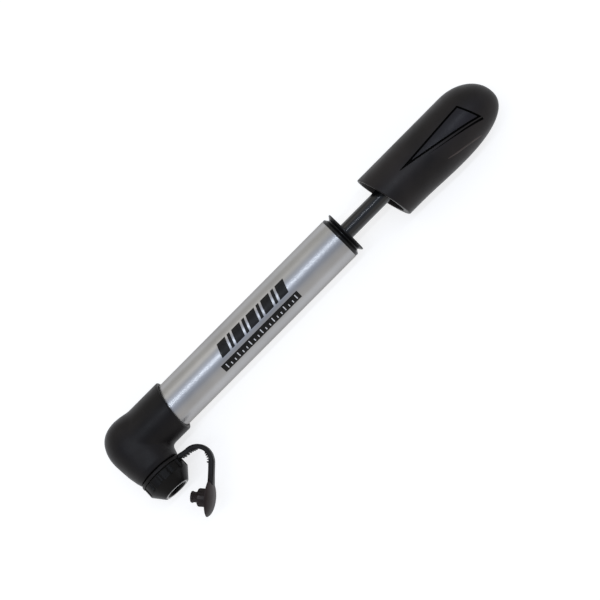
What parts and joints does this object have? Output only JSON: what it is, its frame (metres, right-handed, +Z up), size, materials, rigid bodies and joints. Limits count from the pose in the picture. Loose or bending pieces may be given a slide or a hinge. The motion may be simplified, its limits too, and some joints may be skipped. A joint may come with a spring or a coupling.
{
  "type": "bicycle mini pump",
  "caption": "Slim bicycle hand pump: satin tube, black elbow head with screw nozzle and tethered dust cap, and a bullet-shaped handle on a sliding rod.",
  "frame": {"origin": "bottom centre of the pump's box, with the pump lying on its side as pictured", "axes": "+X along the barrel from the head to the handle, -Y the way the nozzle points, +Z up"},
  "size_m": [0.2438, 0.0622, 0.0266],
  "materials": {
    "barrel_aluminium": "fine satin, lightly drawn along its length",
    "head_plastic": "fine moulded grain",
    "cap_plastic": "satin moulded",
    "tether_rubber": "matt moulded rubber",
    "gland_rubber": "matt",
    "collar_plastic": "satin black",
    "rod_black": "gloss black coating",
    "grip_rubber": "soft-touch, charcoal",
    "inlay_rubber": "soft-touch, a little smoother",
    "nylon": "natural nylon",
    "steel": "bright"
  },
  "bodies": {
    "barrel_and_head": {"barrel": "barrel_aluminium", "pump_head": "head_plastic", "core_pin": "nylon", "barrel_gasket": "gland_rubber", "barrel_plug": "nylon", "plug_o_ring": "gland_rubber", "barrel_collar": "collar_plastic", "rod_bushing": "nylon", "rod_wiper": "gland_rubber", "check_spring": "steel"},
    "gland": {"valve_gland": "gland_rubber"},
    "nozzle": {"nozzle_cap": "cap_plastic"},
    "tether": {"tether_ring": "tether_rubber", "tether_strap": "tether_rubber"},
    "cap": {"dust_cap": "tether_rubber"},
    "guide": {"guide_ring": "nylon"},
    "rod_and_handle": {"piston_rod": "rod_black", "piston_head": "nylon", "rod_bumper": "gland_rubber", "handle_shell": "grip_rubber", "grip_inlay_left": "inlay_rubber", "grip_inlay_right": "inlay_rubber", "handle_core": "head_plastic", "rod_pin": "steel", "stop_washer": "gland_rubber"},
    "seal": {"piston_seal": "gland_rubber"},
    "check": {"check_ball": "steel"}
  },
  "joints": [
    {"name": "pump_stroke", "type": "slide", "parent": "barrel_and_head", "child": "guide", "axis": [1, 0, 0], "range_m": [-0.052, 0.04]},
    {"name": "handle_turn", "type": "hinge", "parent": "guide", "child": "rod_and_handle", "pos_m": [-0.00808, 0.01735, 0.0133], "axis": [1, 0, 0], "continuous": true},
    {"name": "seal_float", "type": "slide", "parent": "rod_and_handle", "child": "seal", "axis": [1, 0, 0], "range_m": [0, 0.001]},
    {"name": "check_lift", "type": "slide", "parent": "barrel_and_head", "child": "check", "axis": [-1, 0, 0], "range_m": [0, 0.001], "stiffness_N_per_m": 20, "springref_m": -0.0005, "deforming": ["check_spring"]},
    {"name": "gland_ease", "type": "slide", "parent": "barrel_and_head", "child": "gland", "axis": [0, -1, 0], "range_m": [0, 0.001]},
    {"name": "nozzle_turn", "type": "hinge", "parent": "gland", "child": "nozzle", "pos_m": [-0.10808, -0.00664, 0.0133], "axis": [0, -1, 0], "range_deg": [0, 360]},
    {"name": "tether_turn", "type": "hinge", "parent": "barrel_and_head", "child": "tether", "pos_m": [-0.10808, -0.00125, 0.0133], "axis": [0, 1, 0], "continuous": true},
    {"name": "cap_flex", "type": "hinge", "parent": "tether", "child": "cap", "pos_m": [-0.09288, -0.0103, 0.0133], "axis": [0, 0, 1], "range_deg": [-35, 50], "stiffness_Nm_per_rad": 0.001, "deforming": ["tether_strap"]}
  ],
  "couplings": [
    {"joint": "nozzle_turn", "follows": "gland_ease", "rad_per_m": 6283}
  ]
}
